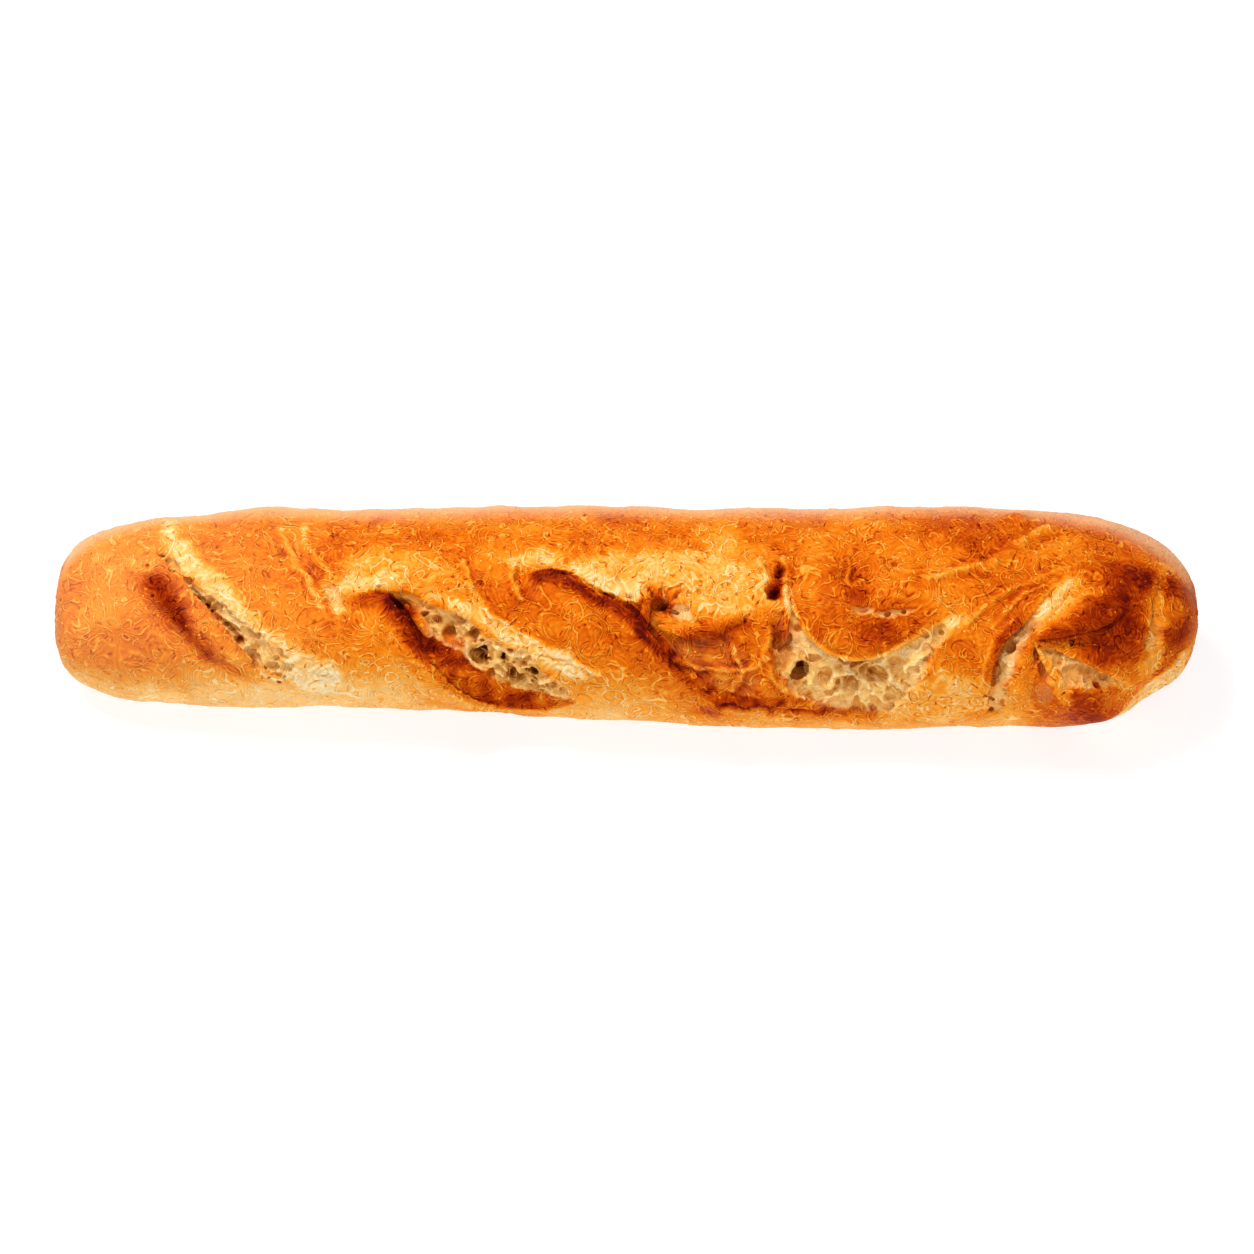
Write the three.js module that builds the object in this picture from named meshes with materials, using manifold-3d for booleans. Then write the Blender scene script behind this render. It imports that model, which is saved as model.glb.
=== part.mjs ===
// A rustic demi-baguette: one baked loaf, slashed five times across its crown.
//
// Millimetres. +X runs along the loaf, -Y is the side towards which the slashes open,
// +Z is up. The flat base lies on z = 0 and the loaf's box is centred over the origin.
//
// Places on the crust are pairs [x, s]. x runs along the loaf. s is the arc from the
// crest line down towards -Y, negative towards +Y, with ARC millimetres to a radian.

import * as THREE from 'three';
import { mergeVertices } from 'three/addons/utils/BufferGeometryUtils.js';
import Module from 'manifold-3d';

const wasm = await Module();
wasm.setup();

// The loaf before it is slashed.
const LENGTH = 320;
const HALF_WIDTH = 30.7;
const WIDTH_TAPER = 2.7; // the half width gained by the right end, and lost by the left
const WIDTH_WAIST = 2.8; // the half width lost by both ends
const HEIGHT_TO_HALF_WIDTH = 1.5;
const AXIS_SHARE = { left: 0.41, right: 0.52 }; // the widest line's share of the height
const LEFT_CAP = { depth: 45, power: 3.6 }; // blunt
const RIGHT_CAP = { depth: 48, power: 2.4 }; // round
const CROWN_POWER = 2.15; // superellipse above the widest line
const BELLY_POWER = 2.4; // and below it
const BELLY_SINK = 0.1; // share of the height that the base cuts off the belly
const ARC = 30;

// How finely the loaf and what is swept along its crust are divided.
const STATION_STEP = 5.0;
const SIDES = 30;
const SWEEP_STEP = 5.0;

// Swells and dents of the crust: each is a smooth ridge along a path, or one lump.
const SWELLS = [
  { path: [[-101, -27]], radius: 14, rise: 2.0 }, // far shoulder
  { path: [[-131, -24]], radius: 5, rise: 0.8 },
  { path: [[18, -28], [52, -28]], radius: 16, rise: -1.3 }, // sunken far shoulder
  { path: [[28, 58], [72, 58]], radius: 14, rise: 1.4 }, // near belly
  { path: [[-126, -14], [-115, 3], [-104, 20], [-93, 33]], radius: 7, rise: 1.8 }, // blooms
  { path: [[-72, 2], [-45, 6], [-24, 16]], radius: 9, rise: 1.9 },
  { path: [[-12, 0], [12, 2], [34, 8]], radius: 9, rise: 1.7 },
  { path: [[58, 17], [80, 14]], radius: 10, rise: 1.8 }, // burnt dome
  { path: [[84, 6], [104, -6], [119, -17]], radius: 4, rise: 1.6 }, // folded ridge
  { path: [[108, -21], [111, -19]], radius: 4.5, rise: 1.8 }, // blister
  { path: [[127, 46], [131, 54]], radius: 8, rise: 2.4 }, // knob beside the last slash
  { path: [[136, 4], [137, 24]], radius: 8, rise: 1.4 },
  { path: [[147, 50], [147, 66]], radius: 4, rise: -2.6 }, // notch before the end
];

// Ears: a lip of crust, rooted `width` behind its free edge, which stands `lift` proud and
// hangs over the opening on the edge's right hand. `open` is how far the crumb is bared
// from the edge, at even steps along it, and `depth` how deep.
const EARS = [
  {
    edge: [[-130, -14], [-126, 3], [-119, 13], [-110, 23], [-106, 33], [-98, 40], [-86, 45]],
    width: 13, lift: 3.2, thick: 2.2, open: [1, 2, 2.5, 5, 12, 12, 4], depth: 4.2,
  },
  {
    edge: [[-75, 16], [-66, 13.5], [-60, 21.5], [-55, 29], [-50, 37], [-43, 46], [-35, 51.5], [-20, 52]],
    width: 12, lift: 4.0, thick: 2.4, open: [2, 6, 10, 17, 22, 25, 27, 14], depth: 6.5,
  },
  {
    edge: [[-26, 8], [-17, 7], [-7, 12], [2, 18], [10, 28], [19, 38], [29, 46], [44, 47]],
    width: 13, lift: 3.8, thick: 2.4, open: [1, 2, 2.5, 6, 16, 20, 18, 10], depth: 3.2,
  },
  {
    edge: [[94, 21], [85, 25], [74, 31], [64, 34.5], [55, 30], [49, 24], [45, 14], [44, 6]],
    width: 13, lift: 2.6, thick: 2.4, open: [2, 7, 14, 17, 18, 16, 5, 2], depth: 6.0,
  },
  {
    edge: [[124, 2], [116, 11], [110, 16], [106, 25], [103, 32], [101, 41], [101, 54]],
    width: 7, lift: 1.2, thick: 2.0, open: [1.5, 5, 6, 8, 14, 18, 21], depth: 4.6,
  },
  {
    edge: [[139, 44], [134, 38], [128, 33], [121, 30], [113, 27.5]], // fold below the leaf
    width: 7, lift: 1.6, thick: 2.0, open: [2, 6, 7, 6, 3], depth: 4.5,
  },
  {
    edge: [[152, -20], [149, -6], [146.5, 8], [144.5, 19], [143.6, 30], [145, 40], [146.5, 54]],
    width: 7, lift: 1.0, thick: 2.0, open: [2, 5, 7, 7, 7, 6, 3], depth: 3.4,
  },
];
const EAR_OVERHANG = 1.4;
const EAR_UNDERCUT = 3.0; // how far an opening reaches under its ear
const ROOT_DEPTH = 3.2; // how deep an ear's root is set in the loaf
const CLEAR_ABOVE = 7; // cutting shapes stand this far out of the crust
const START_ABOVE = 0.9; // and their floors begin this far above it
const END_SIZE = 0.2; // width at the ends of a swept shape, as a share of its full width

// Pits, holes and creases: `reach` each side of the path, `depth` below the crust.
const PITS = [
  { path: [[-93, -13], [-90.5, -3], [-84, 8], [-80, 13]], reach: 1.8, depth: 1.5 },
  { path: [[-82, 10], [-76, 18]], reach: 3.6, depth: 4.2 },
  { path: [[-64, 13], [-59, 18]], reach: 3.4, depth: 7.0 },
  { path: [[-29.5, 4], [-26, 15]], reach: 2.0, depth: 2.6 },
  { path: [[6, 14], [12, 18], [18, 19]], reach: 5.2, depth: 7.0 },
  { path: [[45, 2], [42.5, 9], [40, 17]], reach: 3.4, depth: 6.0 },
  { path: [[61, 17], [70, 20.5], [81, 20]], reach: 2.0, depth: 2.6 },
  { path: [[63.5, 0], [62.5, 9]], reach: 1.8, depth: 1.8 },
];

// Gas cells in the bared crumb: [x, s], radius and how far below the crust each lies.
const CELLS = [
  { at: [-43, 25], radius: 3.2, depth: 5.5 },
  { at: [-35, 33], radius: 4.6, depth: 6.5 },
  { at: [-24, 31], radius: 4.2, depth: 5.5 },
  { at: [-22, 41], radius: 4.8, depth: 6.5 },
  { at: [-32, 43], radius: 4.0, depth: 6.5 },
  { at: [47, 34], radius: 3.6, depth: 7.0 },
  { at: [54, 41], radius: 4.2, depth: 5.5 },
  { at: [63, 44], radius: 4.4, depth: 5.5 },
  { at: [72, 38], radius: 4.4, depth: 6.0 },
  { at: [-96, 34], radius: 3.4, depth: 4.0 },
  { at: [108, 32], radius: 3.0, depth: 5.0 },
];

// Flaps: closed strips of crust laid along a path, `half` wide each side of it.
const LEAF = {
  path: [[136, 9], [128, 17], [120, 22.5], [113, 27.5]],
  half: [7, 8, 5.5, 0.8],
  top: [0.6, 3.2, 3.4, 2.0],
  foot: 3,
};
const TONGUE = {
  path: [[113, 28], [110.5, 38], [107, 55]],
  half: [1.2, 2.8, 3.6],
  top: [0.8, 0.2, 0.4],
  foot: 6,
};
const TORN_RIDGE = {
  path: [[7, 21], [14, 24], [24, 24], [35, 19]],
  half: [1.2, 2.4, 2.4, 1.0],
  top: [1.5, 1.2, 1.4, 0.2],
  foot: 5,
};
const FLAPS = [LEAF, TONGUE, TORN_RIDGE];

const CRUST_COLOUR = 0xc9752b;
const CRUST_ROUGHNESS = 0.55;

// The value of a list of evenly spaced numbers at t, from 0 to 1.
function along(values, t) {
  const place = t * (values.length - 1);
  const i = Math.min(Math.floor(place), values.length - 2);
  return THREE.MathUtils.lerp(values[i], values[i + 1], place - i);
}

// How far the end caps have closed the section at x: 1 in the middle, 0 at the tips.
function closing(x) {
  const close = (distance, { depth, power }) => {
    const left = Math.max(0, 1 - distance / depth);
    return Math.pow(Math.max(0, 1 - Math.pow(left, power)), 1 / power);
  };
  return close(x + LENGTH / 2, LEFT_CAP) * close(LENGTH / 2 - x, RIGHT_CAP);
}

function distanceToPath(x, s, path) {
  const point = new THREE.Vector3(x, s, 0);
  const corners = path.map(([px, ps]) => new THREE.Vector3(px, ps, 0));
  if (corners.length === 1) {
    return point.distanceTo(corners[0]);
  }
  let nearest = Infinity;
  const foot = new THREE.Vector3();
  for (let i = 1; i < corners.length; i += 1) {
    new THREE.Line3(corners[i - 1], corners[i]).closestPointToPoint(point, true, foot);
    nearest = Math.min(nearest, point.distanceTo(foot));
  }
  return nearest;
}

function relief(x, s) {
  let rise = 0;
  for (const swell of SWELLS) {
    const share = distanceToPath(x, s, swell.path) / swell.radius;
    rise += swell.rise * Math.exp(-share * share);
  }
  return rise;
}

// The point that stands `lift` out of the crust at [x, s].
function crustPoint(x, s, lift = 0) {
  const along01 = THREE.MathUtils.clamp(x / LENGTH + 0.5, 0, 1);
  const u = 2 * along01 - 1;
  const halfWidth = HALF_WIDTH + WIDTH_TAPER * u - WIDTH_WAIST * u * u;
  const height = HEIGHT_TO_HALF_WIDTH * halfWidth;
  const axis = height * THREE.MathUtils.lerp(AXIS_SHARE.left, AXIS_SHARE.right, along01);
  const angle = s / ARC;
  const up = Math.cos(angle);
  const out = Math.sin(angle);
  const power = up > 0 ? CROWN_POWER : BELLY_POWER;
  const rise = up > 0 ? height - axis : axis + BELLY_SINK * height;
  const sum = Math.pow(Math.abs(out) / halfWidth, power) + Math.pow(Math.abs(up) / rise, power);
  const closed = closing(x);
  const radius = (Math.pow(sum, -1 / power) + relief(x, s) * closed) * closed + lift;
  return new THREE.Vector3(x, -radius * out, Math.max(axis + radius * up, 0));
}

// A closed solid through rings of points, with a fan over each end.
function solidThrough(rings) {
  const count = rings[0].length;
  const centre = (ring) => ring.reduce((sum, p) => sum.add(p), new THREE.Vector3()).divideScalar(count);
  const points = [...rings.flat(), centre(rings[0]), centre(rings.at(-1))];
  const first = points.length - 2;
  const last = points.length - 1;
  const faces = [];
  for (let j = 0; j < count; j += 1) {
    const k = (j + 1) % count;
    for (let i = 0; i < rings.length - 1; i += 1) {
      const near = i * count;
      const far = near + count;
      faces.push([near + j, far + j, far + k], [near + j, far + k, near + k]);
    }
    const end = (rings.length - 1) * count;
    faces.push([first, j, k], [last, end + k, end + j]);
  }
  const volume = faces.reduce((sum, [a, b, c]) => (
    sum + points[a].dot(new THREE.Vector3().crossVectors(points[b], points[c]))
  ), 0);
  const outward = volume > 0 ? faces : faces.map(([a, b, c]) => [a, c, b]);
  return solidFrom(points, outward);
}

function solidFrom(points, faces) {
  const geometry = new THREE.BufferGeometry();
  geometry.setAttribute('position', new THREE.Float32BufferAttribute(points.flatMap((p) => p.toArray()), 3));
  geometry.setIndex(faces.flat());
  return toManifold(geometry);
}

function toManifold(geometry) {
  const merged = mergeVertices(geometry);
  return new wasm.Manifold(new wasm.Mesh({
    numProp: 3,
    vertProperties: Float32Array.from(merged.attributes.position.array),
    triVerts: Uint32Array.from(merged.index.array),
  }));
}

function toGeometry(solid) {
  const { vertProperties, triVerts } = solid.getMesh();
  const geometry = new THREE.BufferGeometry();
  geometry.setAttribute('position', new THREE.BufferAttribute(vertProperties, 3));
  geometry.setIndex(new THREE.BufferAttribute(triVerts, 1));
  geometry.computeVertexNormals();
  return geometry;
}

// Stations along x, evenly spaced along the loaf's outline rather than along x.
function stations() {
  const SAMPLES = 4000;
  const outline = [];
  for (let i = 0; i <= SAMPLES; i += 1) {
    const x = -LENGTH / 2 * Math.cos(Math.PI * i / SAMPLES);
    outline.push(new THREE.Vector2(x, HALF_WIDTH * closing(x)));
  }
  const chosen = [];
  let travelled = STATION_STEP / 2;
  for (let i = 1; i < SAMPLES; i += 1) {
    travelled += outline[i].distanceTo(outline[i - 1]);
    if (travelled >= STATION_STEP) {
      chosen.push(outline[i].x);
      travelled = 0;
    }
  }
  return chosen;
}

function loafSolid() {
  const rings = stations().map((x) => {
    const ring = [];
    for (let j = 0; j < SIDES; j += 1) {
      ring.push(crustPoint(x, (j / SIDES - 0.5) * 2 * Math.PI * ARC));
    }
    return ring;
  });
  const tip = (x) => rings[0].map(() => crustPoint(x, 0));
  return solidThrough([tip(-LENGTH / 2), ...rings, tip(LENGTH / 2)]);
}

// Sweeps a section of [across, lift] points along a path on the crust. Across is positive
// on the path's right hand, seen from outside the loaf.
function sweep(path, sectionAt) {
  const corners = path.map(([x, s]) => new THREE.Vector3(x, s, 0));
  const curve = new THREE.CatmullRomCurve3(corners, false, 'centripetal');
  const steps = Math.max(3, Math.round(curve.getLength() / SWEEP_STEP));
  const rings = [];
  for (let i = 0; i <= steps; i += 1) {
    const t = i / steps;
    const place = curve.getPointAt(t);
    const heading = curve.getTangentAt(t);
    rings.push(sectionAt(t).map(([across, lift]) => (
      crustPoint(place.x + heading.y * across, place.y - heading.x * across, lift)
    )));
  }
  return solidThrough(rings);
}

// 0 at both ends of a swept shape and 1 over most of its length.
function swell(t) {
  return Math.pow(Math.sin(Math.PI * t), 0.6);
}

function taper(t) {
  return THREE.MathUtils.lerp(END_SIZE, 1, swell(t));
}

function earSolid({ edge, width, lift, thick }) {
  return sweep(edge, (t) => {
    const k = taper(t);
    const top = (lift + 0.6) * k - 0.6;
    const root = width * k;
    const edge = EAR_OVERHANG * k;
    return [
      [-root, -ROOT_DEPTH],
      [-EAR_UNDERCUT * k, top - thick * 1.2],
      [edge, top - thick],
      [edge + 0.5, top - thick * 0.4],
      [edge - 0.7, top],
      [-root * 0.4, top * 0.9],
      [-root * 0.9, -0.9],
    ];
  });
}

// A trough from `left` to `right` of its path, open to the outside.
function trough(path, leftAt, rightAt, depth) {
  return sweep(path, (t) => {
    const left = -leftAt(t);
    const right = rightAt(t);
    const floor = START_ABOVE - (depth + START_ABOVE) * swell(t);
    const at = (share) => THREE.MathUtils.lerp(left, right, share);
    return [
      [left, CLEAR_ABOVE],
      [left, floor * 0.5],
      [at(0.22), floor],
      [at(0.6), floor * 0.94],
      [at(0.88), floor * 0.5],
      [right, 0.6],
      [right + 1, CLEAR_ABOVE],
    ];
  });
}

function openingSolid({ edge, open, depth }) {
  return trough(edge, (t) => EAR_UNDERCUT * taper(t), (t) => along(open, t), depth);
}

function pitSolid({ path, reach, depth }) {
  const reachAt = (t) => reach * taper(t);
  return trough(path, reachAt, reachAt, depth);
}

function flapSolid({ path, half, top, foot }) {
  return sweep(path, (t) => {
    const reach = along(half, t);
    const lift = along(top, t);
    return [
      [-reach * 0.8, -foot],
      [-reach, lift - 1.6],
      [-reach * 0.7, lift - 0.3],
      [0, lift],
      [reach * 0.7, lift - 0.3],
      [reach, lift - 1.6],
      [reach * 0.8, -foot],
    ];
  });
}

function cellSolid({ at: [x, s], radius, depth }) {
  const geometry = new THREE.IcosahedronGeometry(radius, 1);
  geometry.deleteAttribute('normal');
  geometry.deleteAttribute('uv');
  const centre = crustPoint(x, s, -depth);
  geometry.translate(centre.x, centre.y, centre.z);
  return toManifold(geometry);
}

function baguetteSolid() {
  let loaf = loafSolid();
  const cutters = [...EARS.map(openingSolid), ...PITS.map(pitSolid), ...CELLS.map(cellSolid)];
  for (const cutter of cutters) {
    loaf = loaf.subtract(cutter);
  }
  for (const lip of [...EARS.map(earSolid), ...FLAPS.map(flapSolid)]) {
    loaf = loaf.add(lip);
  }
  return loaf;
}

// Moves the geometry so that its box is centred over the origin.
function centred(geometry) {
  geometry.computeBoundingBox();
  const middle = geometry.boundingBox.getCenter(new THREE.Vector3());
  geometry.translate(-middle.x, -middle.y, 0);
  return geometry;
}

const baguette = new THREE.Mesh(
  centred(toGeometry(baguetteSolid())),
  new THREE.MeshStandardMaterial({ color: CRUST_COLOUR, roughness: CRUST_ROUGHNESS, metalness: 0 }),
);
baguette.name = 'baguette';

const group = new THREE.Group();
group.add(baguette);

export default group;
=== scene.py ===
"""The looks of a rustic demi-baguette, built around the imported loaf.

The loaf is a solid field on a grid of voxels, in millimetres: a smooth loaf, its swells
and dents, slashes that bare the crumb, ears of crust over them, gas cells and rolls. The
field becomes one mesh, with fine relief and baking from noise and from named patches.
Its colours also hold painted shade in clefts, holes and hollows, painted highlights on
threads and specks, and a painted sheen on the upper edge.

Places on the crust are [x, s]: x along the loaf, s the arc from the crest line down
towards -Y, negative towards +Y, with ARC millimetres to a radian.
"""

import itertools

import bpy
import numpy as np
import openvdb as vdb
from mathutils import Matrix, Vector


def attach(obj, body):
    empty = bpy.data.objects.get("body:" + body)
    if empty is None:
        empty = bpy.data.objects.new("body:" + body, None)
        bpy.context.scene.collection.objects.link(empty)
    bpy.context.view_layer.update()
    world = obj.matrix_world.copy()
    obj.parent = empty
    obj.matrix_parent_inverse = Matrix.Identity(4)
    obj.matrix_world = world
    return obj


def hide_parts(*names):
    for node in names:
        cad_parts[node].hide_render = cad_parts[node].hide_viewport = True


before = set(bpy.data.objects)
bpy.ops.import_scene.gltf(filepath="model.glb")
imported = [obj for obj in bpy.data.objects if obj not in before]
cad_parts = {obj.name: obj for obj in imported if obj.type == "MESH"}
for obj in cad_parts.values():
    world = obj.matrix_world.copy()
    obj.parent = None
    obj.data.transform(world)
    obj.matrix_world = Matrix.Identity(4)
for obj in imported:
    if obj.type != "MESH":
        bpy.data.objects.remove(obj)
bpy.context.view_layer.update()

MM = 0.001
SEED = 11

# The loaf before it is slashed, as in the frame.
LENGTH = 320.0
HALF_WIDTH = 30.7
WIDTH_TAPER = 2.7
WIDTH_WAIST = 2.8
HEIGHT_TO_HALF_WIDTH = 1.5
AXIS_SHARE = (0.41, 0.52)
LEFT_CAP = dict(depth=45.0, power=3.6)
RIGHT_CAP = dict(depth=48.0, power=2.4)
CROWN_POWER = 2.15
BELLY_POWER = 2.4
BELLY_SINK = 0.1
ARC = 30.0
CENTRE_SHIFT = 1.57  # moves the loaf along Y, so that its box is centred over the origin

# The grid of voxels, and the maps over [x, s].
VOXEL = 0.42
GRID_LOW = np.array([-163.0, -36.0, -2.0])
GRID_HIGH = np.array([163.0, 36.0, 54.0])
BAND = 10.0  # how far from the smooth loaf its relief can reach
KEPT_BAND = 6.0  # how far from the surface the field is handed to the mesher
SLAB = 48  # layers of voxels that are filled at a time
CELL = 0.3  # the side of a map's cell
MAP_X = (-162.0, 162.0)
MAP_S = (-95.0, 95.0)

# Swells and dents of the crust: path, radius, rise.
SWELLS = [
    ([[-101, -27]], 14, 2), ([[-131, -24]], 5, 0.8),
    ([[18, -28], [52, -28]], 16, -1.3), ([[28, 58], [72, 58]], 14, 1.4),
    ([[-126, -14], [-115, 3], [-104, 20], [-93, 33]], 7, 1.6),
    ([[-106, -8], [-98, 12]], 8, 0.8),
    ([[-72, 2], [-45, 6], [-24, 16]], 9, 1.9),
    ([[-12, 0], [12, 2], [34, 8]], 9, 1.7), ([[58, 17], [80, 14]], 10, 1.8),
    ([[90, -10], [100, -12]], 7, 1), ([[108, -21]], 4, 1.8),
    ([[123, 43], [132, 52]], 7, 2.7), ([[118, -30], [142, -26]], 12, -0.8),
    ([[116, 29], [123, 28.5], [129, 26]], 2.6, -1),
    ([[-84, 59], [-60, 60], [-38, 62]], 10, -1.2),
    ([[136, 4], [137, 24]], 8, 1.2), ([[25, 46], [26, 51]], 2.2, 1),
    ([[41, 46], [41.5, 52]], 1.6, 0.8), ([[147, 50], [147, 66]], 4, -2.6),
]

# Ears: a lip of crust behind each slash, `thick` thick. It begins `width` behind its edge,
# climbs by `lift` to its crest, `crest` behind the edge, and falls again by `fall`. `open` is
# how far the crumb is bared from the edge, `depth` how deep, and `crumb` how much of it is
# crumb. On `shelf` the lip slopes down to the crumb as toasted crust. `burn` is what the oven
# adds to the baking of the shelf and of the last `singed` millimetres before the edge. Lists
# hold values at even steps along the edge. An ear says only where it isn't a plain one.
PLAIN_EAR = dict(width=6, thick=1.2, crest=2, fall=0.2, crumb=[1], shelf=[0], burn=[0], singed=[1])
EARS = [
    dict(edge=[[-130.5, -14], [-125.5, 3], [-119.5, 13.5], [-112, 22.5], [-105.5, 31], [-100, 37.5],
               [-90, 44]], width=14, lift=[0.8, 1.4, 2.8, 3.2, 3, 2, 1], thick=1.5, crest=5, fall=1.6,
         open=[0.6, 1.4, 2.4, 4.5, 7, 10, 3], depth=[0.6, 1, 1.4, 1.8, 2.2, 2, 0.8], singed=[2]),
    dict(edge=[[-75, 16.5], [-67, 14], [-62, 20], [-58.5, 26.5], [-54.5, 32.5], [-50, 39], [-44.5, 45.5],
               [-37, 51], [-29, 52.5], [-21, 51.5], [-12, 48]], width=12,
         lift=[2.4, 3.8, 3.8, 3.2, 2.6, 2.2, 1.8, 1.4, 1, 0.6, 0.4], thick=1.7, crest=3, fall=0.8,
         open=[1, 3, 9, 15, 18, 20, 23, 23, 23, 24, 4],
         depth=[1.5, 3, 4.4, 4.8, 4.6, 4.6, 4.6, 4.4, 4.6, 5, 5], crumb=[0, 0, 0.6] + 8 * [1],
         shelf=[0, 0, 0.6, 3, 6, 8, 9, 8, 6, 4, 0],
         burn=[0.12, 0.22, 0.28, 0.24, 0.14, 0.14, 0.12, 0.13, 0.16, 0.06, 0],
         singed=[4, 5, 6, 3, 1.6] + 6 * [1.2]),
    dict(edge=[[-27, 9.5], [-21, 7], [-15, 9], [-8, 13.5], [1, 19], [8.5, 28], [15, 36], [24, 44], [34, 47],
               [45, 46]], width=13, lift=[1.6, 3.2, 3.4, 3.4, 3, 2, 1.4, 1.2, 1, 0.8], thick=1.7, crest=2,
         fall=0.4, open=[1, 1.5, 2, 2.5, 5, 13, 19, 20, 17, 8],
         depth=[0.8, 1.2, 1.6, 1.8, 1.6, 1.5, 2, 2.2, 2, 1.2], crumb=4 * [0] + [0.2] + 5 * [1],
         shelf=[0, 0, 0, 0, 1.5, 2.5, 2.5, 2, 1.5, 1],
         burn=[0.16, 0.36, 0.32, 0.27, 0.24, 0.1, 0.08, 0.1, 0.16, 0.08],
         singed=[5, 6, 5.5, 4.5, 3.2, 1.8, 1.4, 1.2, 1.2, 1.2]),
    dict(edge=[[92, 19.5], [86, 22.5], [80, 26], [73, 30], [66, 32], [59, 31], [53, 27.5], [49, 22.5],
               [46.5, 17], [45, 10]], width=12, lift=[0.8, 1.8], thick=1.3, crest=4, fall=0.9,
         open=[1.5, 4, 9, 16, 21, 20, 17, 12, 5, 2], depth=[0.8, 1.4, 1.9, 2.2, 2.5, 2.8, 3.2, 3.2, 2, 0.8],
         burn=[-0.2], singed=[0.9]),
    dict(edge=[[125.5, 1], [119, 8], [115, 13], [111.5, 18], [107.5, 23], [103.5, 28], [101.5, 33],
               [100.5, 39], [100.5, 46], [101, 55]], lift=[0.6], thick=1.3,
         open=[1.5, 3.5, 4.5, 5, 6, 7.5, 8, 7, 5, 3],
         depth=[0.3, 0.4, 0.5, 0.8, 2, 2.6, 2.2, 1.8, 1.8, 1.4], crumb=[0, 0, 0, 0.4] + 6 * [1],
         burn=[0, 0.04, 0.08, 0.08, 0], singed=[2.5]),
    dict(edge=[[111.5, 26.6], [115, 23], [119, 18.5], [122.5, 13], [126, 5], [128, -2]],
         lift=[0.6, 1.4, 1.4, 0.8, 0.4], crest=2.5, fall=0.4, open=[0.6, 1.5, 2, 2, 1.5, 0.6],
         depth=[0.3, 0.5, 0.6, 0.6, 0.5, 0.3], crumb=[0], burn=[0.04], singed=[3]),
    dict(edge=[[141, 44], [136, 38.5], [131, 35], [126, 32], [120, 29.5], [113, 27.5]], lift=[0.6, 0.8],
         open=[1, 4, 8, 9, 5, 1.5], depth=[0.6, 1.2, 1.8, 2, 1.6, 1.2], crumb=[0.5, 0.9], burn=[-0.08]),
    dict(edge=[[151.5, -16], [148.5, -4], [146.5, 5], [145, 13], [144, 22], [143.2, 29], [144, 38],
               [146, 48]], lift=[0.4, 0.5], open=[1.5, 3.5, 5, 5.5, 6, 6.5, 5.5, 3],
         depth=[0.3, 0.5, 0.7, 0.8, 1, 1.2, 1, 0.6], crumb=[0, 0, 0, 0, 0.1, 0.3, 0.5, 0.4], burn=[-0.06]),
]
EAR_OVERHANG = 0.9  # how far a lip reaches past its edge
EAR_UNDERCUT = 2.6  # how far a slash reaches in under the lip
EAR_ROOT = 1.0  # how deep a lip's upper side begins under the crust
EAR_END = 0.6  # how deep a lip sinks at its two ends
SLASH_RIM = 0.9  # a slash's floor rises to this at its two ends, above the crust
PIT_RIM = 0.4
# Across a slash, from under the lip to its far side: the place, and the share of the depth.
SLASH_PROFILE = ([0, 0.1, 0.2, 0.35, 0.65, 0.88, 1], [0.9, 1.12, 1.05, 0.95, 0.72, 0.32, -0.1])
EDGE_WOBBLE = 1.4  # how uneven a slash's far side and shelf are

# Raised curls and wrinkles of the crust's skin.
CURL_SPACING = 3.4
CURL_HALF = 0.45
WRINKLE_SPACING = 1.8

# Pits, holes and creases: path, reach each side of it, depth, share of bared crumb.
PITS = [
    ([[-122, 8], [-117.5, 15], [-113, 20.5], [-108, 25.5], [-102, 31]], 1.6, 4.6, 0.9),
    ([[-93, -13], [-90.5, -3], [-86, 5], [-83, 11]], 0.9, 1.2, 0.1),
    ([[-83, 9], [-80, 14], [-78, 20]], 2.4, 1.6, 0.6),
    ([[-65.5, 14.5], [-62, 17], [-58, 17.5]], 2.8, 6.5, 0.1),
    ([[-29, 4], [-28.5, 9], [-27, 14]], 1.8, 2, 0),
    ([[-24, -1], [-20, 2]], 2.2, 1.4, 0.4), ([[8.8, 14.5], [11.5, 19.5]], 3.2, 5, 0),
    ([[13, 20], [19, 19]], 3, 2, 1),
    ([[11.4, 17], [10.6, 12], [11, 8.5]], 0.7, 1.8, 0.2),
    ([[12.5, 17], [15, 12.5], [16.5, 10]], 0.7, 1.8, 0.2),
    ([[12, 18.5], [16, 20.5]], 0.8, 3.4, 0.2),
    ([[0.5, 14], [2.5, 14.5]], 1, 2.4, 0.2), ([[43.2, 2], [42.2, 8.5]], 1.4, 2.8, 0),
    ([[40, 10], [41.8, 15.5]], 2.3, 6, 0),
    ([[62.5, 17], [65, 18.5], [69, 18]], 1.2, 2, 0.5),
    ([[68, 19], [73, 19.5], [80, 18]], 1.1, 2, 0.5),
    ([[63.6, 3], [63, 9]], 1.1, 1.8, 0), ([[18, 28.5], [23, 28.5]], 2.2, 1.4, 0),
    ([[112.4, 27.5], [113.2, 34]], 1.3, 4.6, 0.1),
    ([[114.5, 32.5], [117.5, 38.5]], 1.7, 4.2, 0.2),
    ([[115.5, 38], [115.5, 48]], 2.6, 2.4, 0.2),
]

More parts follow.
